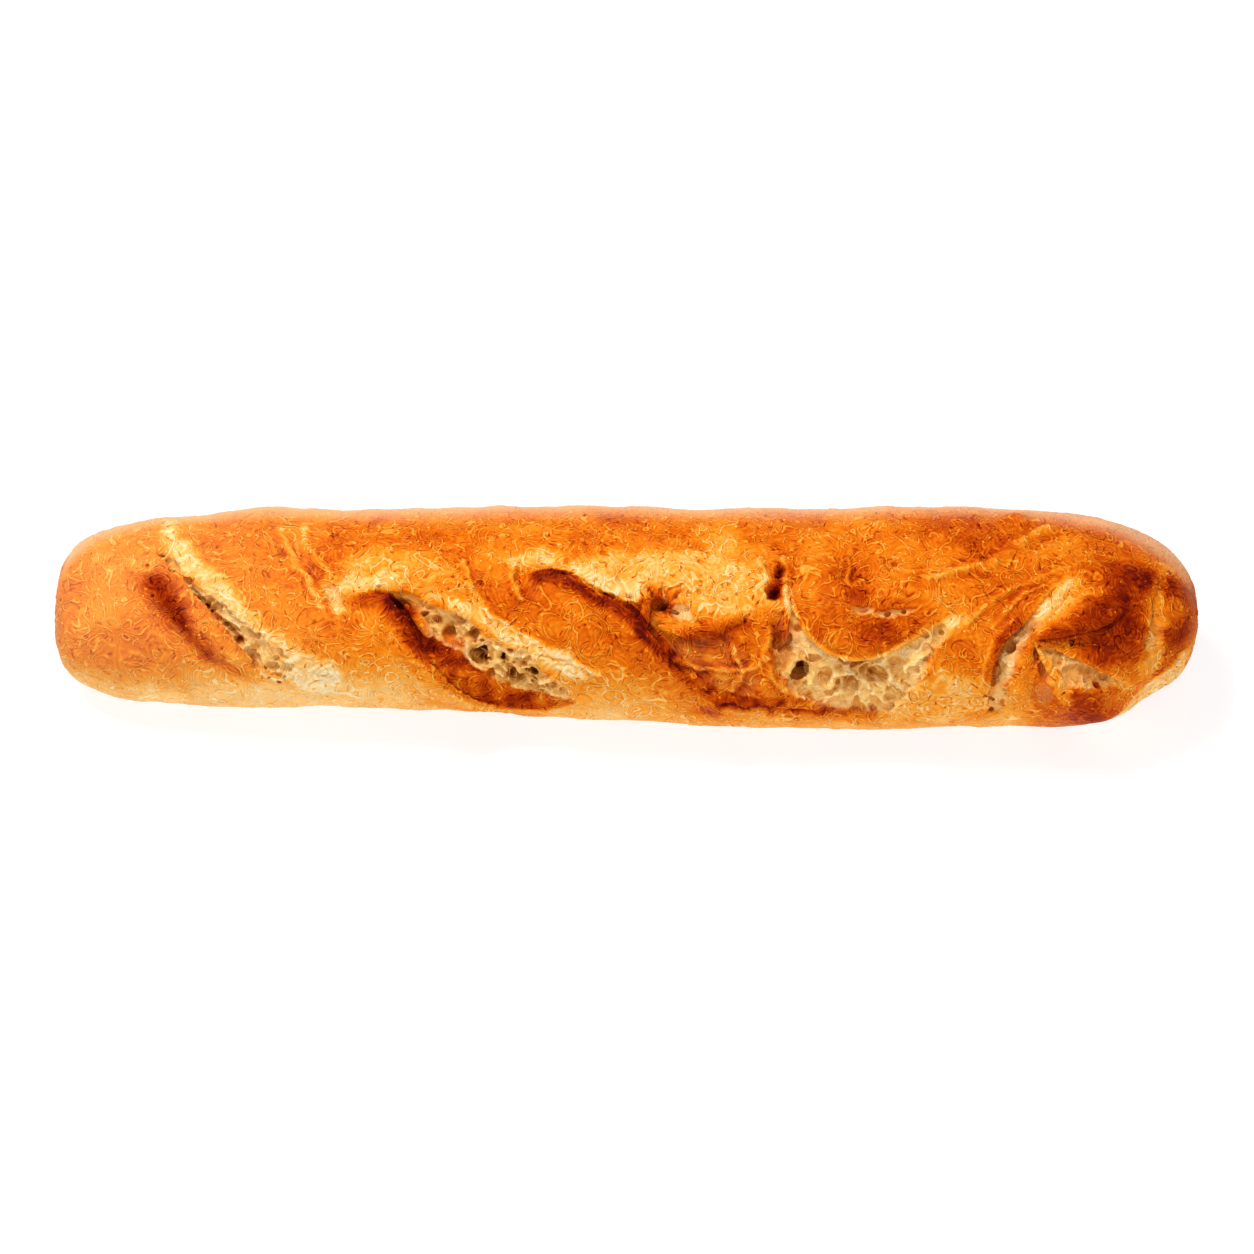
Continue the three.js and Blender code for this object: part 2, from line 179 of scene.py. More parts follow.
# Large gas cells in the bared crumb: [x, s], radius, depth below the crust.
CELLS = [
    ([-45, 21], 2.1, 3), ([-41, 25.5], 2.4, 3.2), ([-48, 26.5], 2.2, 4.4), ([-52, 22], 1.8, 3.6),
    ([-39, 34], 3.2, 5), ([-33, 35], 2, 5.4), ([-26.5, 36.5], 2, 5.2), ([-23.5, 38.5], 2.8, 4.8),
    ([-20, 42.5], 1.8, 3.6), ([-30, 41], 2.6, 4.8),
    ([11.5, 19], 2, 5.2), ([43.5, 28], 3, 3.2), ([48, 37.3], 3.6, 5), ([52.5, 33.3], 1.6, 3.4),
    ([55, 39], 3, 2.6), ([62, 41], 3, 2.6), ([68.5, 38], 3.2, 2.6), ([75, 34], 2.2, 2.2),
    ([66, 18.2], 0.8, 1.6), ([72.5, 19.4], 0.9, 1.8), ([77, 18.8], 0.8, 1.6),
    ([-97, 36], 1.6, 2.2), ([-103, 33.5], 1.5, 2.8),
    ([102, 37], 1.8, 2.6), ([102, 46], 1.2, 2.4), ([102, 51], 1.2, 2.2), ([102, 54], 1, 2),
    ([106.5, 29.5], 2.2, 3.4),
    ([127, 36], 1.6, 2.2), ([132, 39], 1.3, 2),
]

# Flaps and rolls of crust: path, radius along it, height above the crust along it.
ROLLS = [
    ([[-60, 17.5], [-57, 21], [-54, 26]], [0.8, 1.5, 1.6], [0, -1.4, -2.2]),
    ([[4, 27], [5.5, 21], [6.3, 16], [6.6, 11.5]], [1.7, 1.4, 1.1, 0.6], [0.8, 1.6, 2, 1.8]),
    ([[10, 23.5], [15, 25], [20, 24.6], [27, 22.6], [34, 19]], [0.9, 1.6, 2, 2, 1],
     [0.2, -0.2, -0.2, -0.3, -0.4]),
    ([[112, 27], [110.5, 34], [109.5, 42], [108, 54]], [0.7, 2, 3, 3.6], [-0.4, -1.7, -2.6, -3]),
    ([[113, 27.5], [116, 33], [119.5, 39]], [0.5, 0.9, 0.7], [-0.2, -0.6, -0.6]),
    ([[44, 10], [45, 18], [44, 28]], [0.8, 1, 0.7], [-0.2, -0.4, -1.4]),
    ([[45, 17], [40, 21], [37, 28]], [0.8, 0.9, 0.6], [-0.4, -0.6, -1.4]),
]

# Veins: thin ridges where the crust or the crumb has creased. Path, radius, rise, how
# much paler.
VEINS = [
    ([[-97, -14], [-93.5, -3], [-88.5, 6], [-84.5, 15], [-82, 21]], 0.9, 0.6, 0.26),
    ([[-90, -16], [-88, -5], [-82.5, 4], [-80, 8]], 0.9, 0.6, 0.2),
    ([[-31, 3], [-30.8, 9], [-28, 15]], 0.7, 0.7, 0.18),
    ([[-45, 2], [-42.5, 11], [-38.5, 18], [-32, 23.5], [-24, 28], [-16, 32.5], [-6.5, 37]],
     0.7, 0.8, 0.22),
    ([[84, 7], [92, 3.5], [100, 1], [105, -3.5], [110, -10], [118, -18]], 1.5, 1.2, 0.18),
    ([[94, 22], [102, 14], [109, 9], [117, 4], [128, -2]], 0.8, 0.7, 0.1),
    ([[101, 23], [107, 14.5], [112, 10.5], [119, 6]], 0.6, 0.6, 0.12),
    ([[37, 1], [38.5, 8], [38, 13], [41, 17], [44.5, 16]], 0.9, 0.7, 0.14),
    ([[44, -1], [44.5, 8], [45, 15], [47.5, 22]], 0.8, 0.7, 0.18),
    ([[62, 0], [61.5, 6], [63.2, 10.5], [66, 5], [63.4, 0]], 0.6, 0.6, 0.12),
    ([[74, 3], [80, 5], [87, 2], [94, 4]], 0.6, 0.5, 0.12),
    ([[-68, 10], [-66, 5], [-62, 4], [-60, 8], [-62, 12]], 0.7, 0.6, 0.16),
    ([[27, 47], [40, 48.8], [54, 49.4], [66, 50.5]], 0.8, -0.9, -0.16),
    ([[60, 32], [62, 37], [60, 43], [56, 47]], 0.7, 1.2, 0.2),
    ([[72, 31], [72, 37], [77, 42]], 0.7, 1.2, 0.2),
    ([[62, 37], [68, 42], [72, 47]], 0.7, 1, 0.2),
    ([[50, 31], [53, 38], [50, 45]], 0.6, 1, 0.18),
    ([[53, 38], [61, 38], [69, 34], [77, 36], [82, 32]], 0.6, 1, 0.18),
    ([[30, 29], [33, 36], [30, 43]], 0.7, 0.8, 0.2),
    ([[14, 33], [22, 36], [33, 36], [40, 32]], 0.7, 0.8, 0.2),
    ([[40, 24], [39, 32], [43, 40], [50, 45]], 0.8, 0.9, 0.2),
    ([[-47, 24], [-43, 28], [-38, 27], [-34, 31], [-28, 32]], 0.7, 1, 0.2),
    ([[-43, 28], [-43, 34], [-38, 39], [-30, 41], [-24, 42], [-18, 38]], 0.7, 1.2, 0.2),
    ([[-35, 30], [-35, 36], [-31, 41]], 0.6, 1, 0.18),
]

# Young crust that has stretched beside the slashes: path, half width along it, how pale.
BLOOMS = [
    ([[-129, -23], [-127, -12], [-122.5, -2], [-116.5, 7], [-109.5, 16], [-102.5, 24], [-94, 33], [-84, 41]],
     [1.5, 2.2, 3.2, 3.6, 3.6, 4, 5, 6], 0.38),
    ([[-82, 10], [-79, 18]], [1.8, 2.4], 0.12),
    ([[-73, 3], [-60, 5], [-50, 10], [-42, 15]], [4, 7, 6, 2.5], 0.13),
    ([[-80, 11], [-74, 10], [-66, 9]], [2, 3.5, 3.5], 0.34),
    ([[-30, 2], [-24, -1], [-18, 2]], [2, 3.2, 2.6], 0.26),
    ([[-13, 6], [-5, 10], [3, 12]], [2, 4, 4], 0.38),
    ([[16, 15], [26, 15], [37, 15]], [3, 5, 4], 0.21),
    ([[-10, 3], [8, 5], [26, 7], [36, 11]], [3, 5.5, 8, 4], 0.21),
    ([[22, -12], [26, -4]], [3, 5], 0.12),
    ([[-53, 14], [-44, 18], [-36, 23], [-28, 28], [-20, 32.5], [-11, 37]], [2, 2.4, 2, 2.4, 3.4, 2.4], 0.38),
    ([[84, 28], [92, 20]], [2.2, 1.2], 0.24),
    ([[113, 28], [117, 34], [121, 42]], [1, 1.6, 1.4], 0.26),
    ([[78, 46], [88, 46], [99, 44]], [5, 10, 6], 0.2),
    ([[100, 2], [112, -4], [124, -14]], [2, 4, 3], 0.08),
    ([[125, 3], [121.5, 9], [118, 15], [113.5, 21.5]], [1, 2.2, 2.8, 2.2], 0.32),
    ([[149.5, -12], [148, 4], [147, 20], [146.5, 34]], [1.2, 1.6, 1.8, 2.2], 0.14),
    ([[135, 68], [147, 60], [157, 47]], [7, 11, 8], 0.46),
    ([[-133, 1], [-138, -2]], [2.2, 2], 0.12),
]

SMALL_CELLS = 380  # small gas cells, strewn over the bared crumb

# Pinholes: a path, how far they stray from it, and how many.
PORES = [
    ([[-131, -22], [-128, -3]], 0.6, 7),
    ([[-116, 19], [-110, 26], [-101, 32]], 1.2, 12),
    ([[-23, 0], [-18, 3]], 2, 8),
    ([[18, 8], [40, 12]], 4, 14),
    ([[149, -4], [147.5, 20], [147, 36]], 1.5, 16),
    ([[104, 36], [102, 48]], 1.6, 12),
    ([[-140, 0], [140, 0]], 15, 26),
]

# Bared crumb that the oven has toasted: path, radius, how much.
TOASTED = [
    ([[6, 14], [4, 26]], 2, 1),
    ([[8, 26], [16, 28], [24, 27], [34, 22]], 6, 1),
    ([[12, 33], [24, 38], [36, 32], [41, 23]], 7.5, 1),
    ([[22, 31], [32, 30]], 5, 1), ([[24, 44], [44, 45]], 4, 1),
    ([[46, 46], [56, 49], [68, 52]], 3, 0.8),
    ([[112, 27], [110, 37], [108, 53]], 3.4, 1),
    ([[-60, 19], [-55, 26]], 2.2, 1), ([[-64, 15], [-60, 17]], 2, 0.6),
    ([[-49, 28.5], [-45, 30.5]], 2, 1),
]

# The leaf of crust at the last slash: half its width, and how high it stands, along it.
LEAF = dict(path=[[137, 9], [131, 15], [126, 19], [120.5, 22.2], [115.5, 25], [111.5, 26.8]],
            half=[7, 7, 6, 4, 2, 0.4], top=[0.2, 1.8, 3.4, 3.8, 3, 1.6])

# Baking, from 0, pale, to 1, burnt: path, radius, what it adds. A few stand for painted shade or a painted
# highlight, as marked.
PATCHES = [
    ([[-150, -14], [-96, -18], [-60, -24]], 12, -0.07),
    ([[-129.5, 9], [-127, 14], [-123.5, 19.5]], 4, 0.28),
    ([[-134, 7], [-132, 14]], 3.6, 0.06), ([[-122, 23], [-115.5, 31]], 2.8, 0.19),
    ([[-113, 34], [-103, 41]], 2.4, 0.09),
    ([[-121, 15], [-113, 25], [-106, 33]], 1.8, -0.08),
    ([[-106, -16], [-98, 4], [-100, 18]], 6, 0.05),
    ([[-79, -16], [-81, -4], [-85, 7]], 5, 0.13),
    ([[-92, -12], [-89, 0]], 3, -0.09), ([[-56, -8], [-28, -8]], 6, 0.05),
    ([[-12, -20]], 6, -0.08), ([[12, -10], [20, -8]], 6, 0.07),
    ([[86, 36], [92, 42]], 6, -0.06), ([[-72, -14], [-67, -23]], 1.8, 0.1),
    ([[-58, 28], [-51, 30.5], [-44.5, 32.5]], 2.8, 0.08),
    # Darker along the lower front edge: painted shade.
    ([[-52, 50], [-38, 57], [-24, 57]], 4, 0.12),
    # The first here darkens the cavity behind the second ear's nose: painted shade.
    ([[-64, 16], [-60, 19]], 2, 0.3), ([[-40, 8], [-34, 18]], 4, 0.06),
    ([[-24, 14], [-18, 20], [-8, 24], [3, 30]], 7, 0.12),
    # The second here darkens the cavity beside the third slash: painted shade.
    ([[6, 13], [4, 25]], 1.8, 0.22), ([[10, 15], [14, 17]], 3.2, 0.2),
    ([[18, 27], [25, 26], [33, 22.5]], 2.8, 0.17),
    ([[9, 22.6], [18, 22], [26, 19], [34, 17.5]], 1, -0.1),
    ([[14, 34], [24, 36], [36, 32]], 9, 0.06),
    ([[26, 46], [35, 48], [45, 46]], 1, 0.16),
    ([[24, 50]], 3, 0.18), ([[41, 50]], 2, 0.2),
    ([[42.9, 5], [41, 13]], 2.2, 0.3), ([[36, 3], [38.5, 9]], 3, -0.13),
    ([[46, 48], [58, 51], [68, 51]], 4, 0.14),
    ([[57, 23], [62, 5], [66, 15], [76, 23]], 8, 0.08),
    ([[64, 13]], 3.6, 0.14), ([[66, 25], [73, 25]], 4, 0.14),
    ([[88, -16], [98, -8]], 9, 0.11), ([[100, 1], [108, -7]], 1.6, 0.08),
    ([[115, 9], [108, 19], [103, 28]], 1.8, 0.1),
    ([[116, 25], [122, 22], [128, 18]], 4.6, 0.12),
    # A paler line along the leaf's upper edge: painted highlight.
    ([[114, 24.5], [119, 19.5], [124, 14], [130, 11]], 1.2, -0.16),
    ([[141, 3], [138, 12], [137, 24]], 8.5, 0.24),
    ([[125, 45], [131, 54]], 7.5, 0.24), ([[154, 0], [154, 28]], 6, 0.14),
    ([[111, 32], [108, 43], [106, 53]], 2.6, -0.09),
    # The second here darkens the hollow at x 116: painted shade.
    ([[84, 48], [96, 46]], 7, 0.07), ([[116, 38], [116, 47]], 3, 0.09),
    ([[131, 31], [141, 33]], 4, 0.1),
]

# Baking, shade and painted sheen of the loaf as a whole. Pairs of lists are places along x,
# and the value there.
BASE_BAKE = 0.63
BASE_SHADE = 0.17
ALL_YOUNG = 0.3  # the paleness of BLOOMS at which the crust is wholly young
SIDE_START = ([-160, -15, 20, 160], [24, 27, 37, 36])  # the s at which the paler sides begin
SIDE_PALER = ([-90, -60, 10], [0.4, 0.28, 0.24])
# How strong the painted sheen is on the blunt end.
END_SHEEN = ([-155, -70], [0.18, 0])
SHELTER_REACH = 1.2  # how far out of the surface a cleft's other side is felt


# ---- noise

noise_rng = np.random.default_rng(SEED)
GRADIENTS = noise_rng.normal(size=(256, 3)).astype(np.float32)
GRADIENTS /= np.linalg.norm(GRADIENTS, axis=1)[:, None]
DRAWS = noise_rng.random((256, 3)).astype(np.float32)
PRIMES = (73856093, 19349663, 83492791)


def scramble(corner, seed):
    """A number from 0 to 255 for each corner (n, 2 or 3) of a grid."""
    mixed = seed * 668265263
    for axis in range(corner.shape[1]):
        mixed = mixed ^ (corner[:, axis] * PRIMES[axis])
    mixed = (mixed ^ (mixed >> 15)) * 2246822519
    return (mixed >> 9) & 255


def noise(points, size, seed):
    """Smooth noise from about -1 to 1 at points (n, 3) in mm, with features `size` wide."""
    places = points / size
    corner = np.floor(places).astype(np.int64)
    share = (places - corner).astype(np.float32)
    fade = share * share * share * (share * (share * 6 - 15) + 10)
    total = np.zeros(len(points), np.float32)
    for step in itertools.product((0, 1), repeat=3):
        gradient = GRADIENTS[scramble(corner + step, seed)]
        weight = np.where(step, fade, 1 - fade).prod(axis=1)
        total += weight * ((share - step) * gradient).sum(axis=1)
    return total * 1.7


def octaves(points, size, count, seed):
    """Sum of noises, each of half the size and half the strength of the one before."""
    return sum(noise(points, size / 2 ** i, seed + i) / 2 ** i for i in range(count))


def smoothstep(low, high, value):
    share = np.clip((value - low) / (high - low), 0, 1)
    return share * share * (3 - 2 * share)


# ---- the smooth loaf

def section(x):
    """Half width, height and height of the widest line at x."""
    u = np.clip(x / (LENGTH / 2), -1, 1)
    half = HALF_WIDTH + WIDTH_TAPER * u - WIDTH_WAIST * u * u
    height = HEIGHT_TO_HALF_WIDTH * half
    axis = height * (AXIS_SHARE[0] + (AXIS_SHARE[1] - AXIS_SHARE[0]) * (u + 1) / 2)
    return half, height, axis


def full_radius(x, out, up):
    """Radius of the unclosed section at x, in the direction (out, up)."""
    half, height, axis = section(x)
    power = np.where(up > 0, CROWN_POWER, BELLY_POWER)
    rise = np.where(up > 0, height - axis, axis + BELLY_SINK * height)
    return ((np.abs(out) / half) ** power + (np.abs(up) / rise) ** power) ** (-1 / power)


def loaf_coordinates(x, y, z):
    """Height above the smooth loaf, and arc s, of points given before the shift along Y."""
    axis = section(x)[2]
    away = np.maximum(np.hypot(y, z - axis), 1e-3)
    out, up = -y / away, (z - axis) / away
    full = full_radius(x, out, up)
    rho = np.maximum(away / full, 0.15)
    from_left, from_right = x + LENGTH / 2, LENGTH / 2 - x
    left = from_left < from_right
    depth = np.where(left, LEFT_CAP["depth"], RIGHT_CAP["depth"])
    power = np.where(left, LEFT_CAP["power"], RIGHT_CAP["power"])
    q = np.maximum(1 - np.where(left, from_left, from_right) / depth, 0)
    level = (rho ** power + q ** power) ** (1 / power)
    slope = np.hypot(rho ** (power - 1) / full, q ** (power - 1) / depth)
    return (level - 1) / (slope * level ** (1 - power)), ARC * np.arctan2(out, up)


def closing(x):
    def close(distance, cap):
        q = np.clip(1 - distance / cap["depth"], 0, 1)
        return (1 - q ** cap["power"]) ** (1 / cap["power"])
    return close(x + LENGTH / 2, LEFT_CAP) * close(LENGTH / 2 - x, RIGHT_CAP)


def crust_point(x, s, lift):
    """The point that stands `lift` out of the crust at [x, s], before the shift along Y."""
    out, up = np.sin(s / ARC), np.cos(s / ARC)
    radius = full_radius(x, out, up) * closing(x) + read(skin, x, s) + lift
    return np.stack([x, -radius * out, section(x)[2] + radius * up], axis=-1)


# ---- maps over [x, s]

map_x = np.arange(*MAP_X, CELL, dtype=np.float32)
map_s = np.arange(*MAP_S, CELL, dtype=np.float32)
every_x, every_s = np.meshgrid(map_x, map_s, indexing="ij")
everywhere = np.stack([every_x.ravel(), every_s.ravel(), 0 * every_x.ravel()], axis=-1)


def as_map(values):
    return values.reshape(every_x.shape).astype(np.float32)


def noise_map(size, seed, count=1):
    return as_map(octaves(everywhere, size, count, seed))


def new_map():
    return np.zeros(every_x.shape, np.float32)


def read(values, x, s):
    """Values of a map at [x, s], between its cells."""
    i = np.clip((x - MAP_X[0]) / CELL, 0, len(map_x) - 1.001)
    j = np.clip((s - MAP_S[0]) / CELL, 0, len(map_s) - 1.001)
    i0, j0 = i.astype(np.int32), j.astype(np.int32)
    fi, fj = (i - i0).astype(np.float32), (j - j0).astype(np.float32)
    low = values[i0, j0] * (1 - fj) + values[i0, j0 + 1] * fj
    high = values[i0 + 1, j0] * (1 - fj) + values[i0 + 1, j0 + 1] * fj
    return low * (1 - fi) + high * fi


def window(path, reach):
    """The part of a map within reach of a path: its slices and its x and s."""
    low = (np.min(path, axis=0) - reach - (MAP_X[0], MAP_S[0])) / CELL
    high = (np.max(path, axis=0) + reach - (MAP_X[0], MAP_S[0])) / CELL + 1
    first = np.clip(low, 0, every_x.shape).astype(int)
    last = np.clip(high, 0, every_x.shape).astype(int)
    where = np.s_[first[0]:last[0], first[1]:last[1]]
    return where, every_x[where], every_s[where]


def smooth_path(corners, step=1.5):
    """Points about `step` apart on a smooth curve through the corners."""
    corners = np.array(corners, float)
    ends = [2 * corners[0] - corners[1], *corners, 2 * corners[-1] - corners[-2]]
    share = np.linspace(0, 1, 12, endpoint=False)[:, None]
    pieces = []
    for a, b, c, d in zip(ends, ends[1:], ends[2:], ends[3:]):
        bend = (2 * a - 5 * b + 4 * c - d) * share ** 2 + (3 * b - a - 3 * c + d) * share ** 3
        pieces.append(b + 0.5 * ((c - a) * share + bend))
    points = np.concatenate([*pieces, corners[-1:]])
    run = np.cumsum([0, *np.hypot(*np.diff(points, axis=0).T)])
    even = np.linspace(0, run[-1], max(2, int(run[-1] / step) + 1))
    return np.stack([np.interp(even, run, points[:, i]) for i in range(2)], axis=-1)


def nearest(path, x, s):
    """For each [x, s]: the share t along the path of its nearest point, and the distance
    to it, positive on the path's left hand seen from outside."""
    best = np.full(x.shape, np.inf, np.float32)
    t, across = np.zeros_like(best), np.zeros_like(best)
    for i, (start, end) in enumerate(zip(path, path[1:])):
        way = end - start
        length = np.hypot(*way)
        way = way / length
        ahead = (x - start[0]) * way[0] + (s - start[1]) * way[1]
        side = (x - start[0]) * way[1] - (s - start[1]) * way[0]
        held = np.clip(ahead, 0, length)
        gap = np.hypot(side, ahead - held)
        closer = gap < best
        best[closer] = gap[closer]
        t[closer] = (i + held[closer] / length) / (len(path) - 1)
        across[closer] = (np.where(side < 0, -1, 1) * gap)[closer]
    return t, across


def beside(corners, reach):
    """The window round a smooth path, and what nearest() gives there."""
    path = smooth_path(corners)
    where, x, s = window(path, reach)
    return where, *nearest(path, x, s)


def distance_to(path, x, s):
    if len(path) == 1:
        return np.hypot(x - path[0][0], s - path[0][1])
    return np.abs(nearest(smooth_path(path), x, s)[1])


def ridges(parts, warp=0):
    """A map of smooth ridges or patches: path, radius and rise of each. warp frays them."""
    total = new_map()
    for path, radius, rise in parts:
        where, x, s = window(path, 2.6 * radius)
        x = x + warp * fray_x[where]
        s = s + warp * fray_s[where]
        total[where] += rise * np.exp(-(distance_to(path, x, s) / radius) ** 2)
    return total


def cell_pattern(size, bend_x, bend_s, seed):
    """Three maps of bent cells `size` wide: the distance to a cell's middle and to its
    walls, in millimetres, and a number from 0 to 1 for each cell."""
    places = np.stack([every_x + bend_x, every_s + bend_s], axis=-1).reshape(-1, 2) / size
    corner = np.floor(places).astype(np.int64)
    first = np.full(len(places), np.inf, np.float32)
    second = first.copy()
    value = np.zeros_like(first)
    for step in itertools.product((-1, 0, 1), repeat=2):
        draws = DRAWS[scramble(corner + step, seed)]
        gap = np.hypot(*(corner + step + draws[:, :2] - places).T).astype(np.float32)
        closer = gap < first
        second = np.where(closer, first, np.minimum(second, gap))
        value[closer] = draws[closer, 2]
        first = np.minimum(first, gap)
    return as_map(first * size), as_map(second - first) * size, as_map(value)


def patch(path, half, edge=2):
    """Where a frayed patch lies, as a window, and how much of it is there, from 0 to 1."""
    where, t, across = beside(path, max(half) + edge + 4)
    share = np.abs(across) + 1.6 * fray_x[where] - along(half, t)
    return where, smoothstep(edge, -edge, share)


def along(values, t):
    return np.interp(t, np.linspace(0, 1, len(values)), values).astype(np.float32)


def swell(t):
    """0 at both ends of a slash and 1 over most of its length."""
    return np.maximum(np.sin(np.pi * np.clip(t, 0, 1)), 0) ** 0.6


def taper(t):
    return 0.2 + 0.8 * swell(t)


# ---- the slashed crust

# Noises that fray edges, bend cells and make a cut uneven.
fray_x = noise_map(6, 3, 3)
fray_s = noise_map(6, 7, 3)
slow_x = 3.2 * noise_map(11, 13)
slow_s = 3.2 * noise_map(11, 17)
wobble = 0.8 * noise_map(6, 31) + 0.6 * noise_map(2.2, 32, 2)
_, plate_gap, plate_tone = cell_pattern(19, 5 * fray_x, 5 * fray_s, 5)
_, alveoli_gap, alveoli_tone = cell_pattern(5.6, 3 * fray_x, 3 * fray_s, 6)
_, pores_gap, pores_tone = cell_pattern(2, 0.8 * fray_x, 0.8 * fray_s, 8)

# Curls: raised threads on rings round the middles of large cells. Wrinkles: the same,
# closer together and less broken.
ring = cell_pattern(12, slow_x, slow_s, 41)[0] / CURL_SPACING
curls = smoothstep(1.5 * CURL_HALF, 0.4 * CURL_HALF, CURL_SPACING * np.abs(ring - np.round(ring)))
curls *= smoothstep(0, 0.25, noise_map(5, 42))
ring = cell_pattern(8, slow_x, slow_s, 43)[0] / WRINKLE_SPACING
wrinkles = 0.5 + 0.5 * np.cos(2 * np.pi * (ring + 0.25 * fray_s))
wrinkles *= smoothstep(-0.7, 0.1, noise_map(3.6, 44))

young = new_map()  # how pale the young crust is that has stretched beside an opening
for path, half, paleness in BLOOMS:
    where, share = patch(path, half)
    young[where] = np.maximum(young[where], paleness * share)

skin = ridges(SWELLS)
skin += 0.4 * noise_map(13, 21, 3) * closing(map_x)[:, None] ** 2
skin += 0.16 * smoothstep(1.6, 0.2, plate_gap)
paler = new_map()  # how much paler veins are, and darker the clefts beside them
fading = 0.35 + 0.65 * smoothstep(-0.6, 0.3, noise_map(4.5, 47))
for path, radius, rise, paleness in VEINS:
    where, x, s = window(path, 6 * radius)
    near = distance_to(path, x + 1.1 * fray_x[where], s + 1.1 * fray_s[where]) / radius
    top, cleft = np.exp(-near ** 2), np.exp(-(near - 2) ** 2)
    skin[where] += rise * fading[where] * (top - 0.3 * cleft)
    # The darker clefts beside the veins are painted shade.
    paler[where] += paleness * fading[where] * (top - 0.4 * cleft)
ground = skin.copy()  # the skin with its openings
bare = new_map()  # the share of crumb that an opening bares
burnt = new_map()  # what the oven adds to the baking of the ears
toasted = np.clip(ridges(TOASTED, warp=1), 0, 1)  # the share of crumb that is toasted
roofs = []  # thin layers of crust over the ground: the ears and the leaf


def open_ground(where, v, profile, floor, crumb_share):
    """Lowers the ground to `floor` where v, the place across an opening, is 0 to 1."""
    inside = (v > -0.001) & (v < 1) & (floor < 0)
    lowered = np.minimum(ground[where], skin[where] + floor * profile)
    ground[where] = np.where(inside, lowered, ground[where])
    share = crumb_share * smoothstep(1, 0.86, v)
    bare[where] = np.maximum(bare[where], np.where(inside, share, 0))


def cut_slash(ear):
    """Opens the ground in front of an ear's edge, and raises and singes the ear."""
    where, t, across = beside(ear["edge"], max(ear["width"], *ear["open"]) + 8)
    start = -EAR_UNDERCUT * taper(t)
    far = along(ear["open"], t) + EDGE_WOBBLE * wobble[where]
    shelf = np.maximum(along(ear["shelf"], t) + EDGE_WOBBLE * wobble[where], 0)
    v = (across - start) / (np.maximum(far, 0.4) - start)
    profile = np.interp(v, *SLASH_PROFILE)
    slope = 0.12 + 0.88 * smoothstep(-1, np.maximum(1.25 * shelf, 0.1), across)
    profile = profile * np.where(shelf > 0.5, slope, 1)
    floor = SLASH_RIM - (along(ear["depth"], t) + SLASH_RIM) * swell(t)
    open_ground(where, v, profile, floor, along(ear["crumb"], t))
    share = smoothstep(1.1, 0.85, across / np.maximum(shelf, 0.1)) * ((shelf > 0.5) & (across > start))
    toasted[where] = np.maximum(toasted[where], share)
    raise_ear(ear, where, t, across + 0.5 * wobble[where])
    singe_ear(ear, where, t, across, shelf)


def raise_ear(ear, where, t, across):
    strength = taper(t)
    top = (along(ear["lift"], t) + EAR_END) * strength - EAR_END
    root = -ear["width"] * strength
    edge = EAR_OVERHANG * strength
    climb = smoothstep(0, 1, (across - root) / (edge - root - ear["crest"] * strength))
    slump = ear["fall"] * strength * smoothstep(-ear["crest"] * strength, edge, across)
    half = 0.5 * ear["thick"] * (1 - 0.45 * smoothstep(-6, 0, across))
    middle = -EAR_ROOT - half + (top + EAR_ROOT) * climb - slump
    beyond = np.maximum(across - edge + half, 0) + np.maximum(root - across, 0)
    roofs.append(dict(where=where, middle=middle, half=half, beyond=beyond))


def singe_ear(ear, where, t, across, shelf):
    singed = along(ear["singed"], t)
    burn = along(ear["burn"], t) * smoothstep(-singed, -0.15 * singed, across + 0.3 * wobble[where])
    burn *= smoothstep(1.05, 0.85, across / np.maximum(2.5, shelf)) * smoothstep(0, 0.3, swell(t))
    burnt[where] += burn


def cut_pit(path, reach, depth, crumb_share):
    """A pit or crease with round sides. Like a slash, it ends where its floor comes up."""
    where, t, across = beside(path, reach + 3)
    radius = reach * taper(t)
    v = (across + 0.45 * reach * wobble[where] + radius) / (2 * radius)
    profile = np.maximum(1 - (2 * v - 1) ** 2, 0) ** 0.7
    open_ground(where, v, profile, PIT_RIM - (depth + PIT_RIM) * swell(t), crumb_share)


def lay_leaf(leaf):
    """A roof of crust that is highest along its path and droops to both sides."""
    where, t, across = beside(leaf["path"], 12)
    across = across + 0.4 * wobble[where]
    reach = along(leaf["half"], t)
    share = np.clip(np.abs(across) / reach, 0, 1)
    half = np.full_like(share, 1)
    middle = along(leaf["top"], t) - half - 1.2 * share ** 2
    beyond = np.maximum(np.abs(across) - reach + half, 0)
    roofs.append(dict(where=where, middle=middle, half=half, beyond=beyond))


for ear in EARS:
    cut_slash(PLAIN_EAR | ear)
for pit in PITS:
    cut_pit(*pit)
lay_leaf(LEAF)

# Stretched cells of the bared crumb, with walls between them.
walls = smoothstep(1, 0.2, alveoli_gap)
hollows = 1.3 * alveoli_tone * smoothstep(0.2, 2.2, alveoli_gap)
hollows += 0.3 * pores_tone * smoothstep(0.1, 0.8, pores_gap)
ground += bare * ((1 - 0.8 * toasted) * (0.4 * walls - hollows) + 0.5 * toasted * wobble)


# ---- the field of voxels

grid_shape = np.ceil((GRID_HIGH - GRID_LOW) / VOXEL).astype(int) + 1
grid_axes = [GRID_LOW[i] + VOXEL * np.arange(grid_shape[i]) for i in range(3)]
field = np.full(grid_shape, BAND, np.float32)


def least(a, b, blend):
    """Union of two solids, rounded where they meet."""
    share = np.clip(0.5 + 0.5 * (b - a) / blend, 0, 1)
    return b + (a - b) * share - blend * share * (1 - share)


def roof_distance(roof, x, s, height):
    """Distance to a roof of crust, for points in its window."""
    rows, columns = roof["where"]
    i = ((x - MAP_X[0]) / CELL + 0.5).astype(int) - rows.start
    j = ((s - MAP_S[0]) / CELL + 0.5).astype(int) - columns.start
    return np.hypot(roof["beyond"][i, j], height - roof["middle"][i, j]) - roof["half"][i, j]


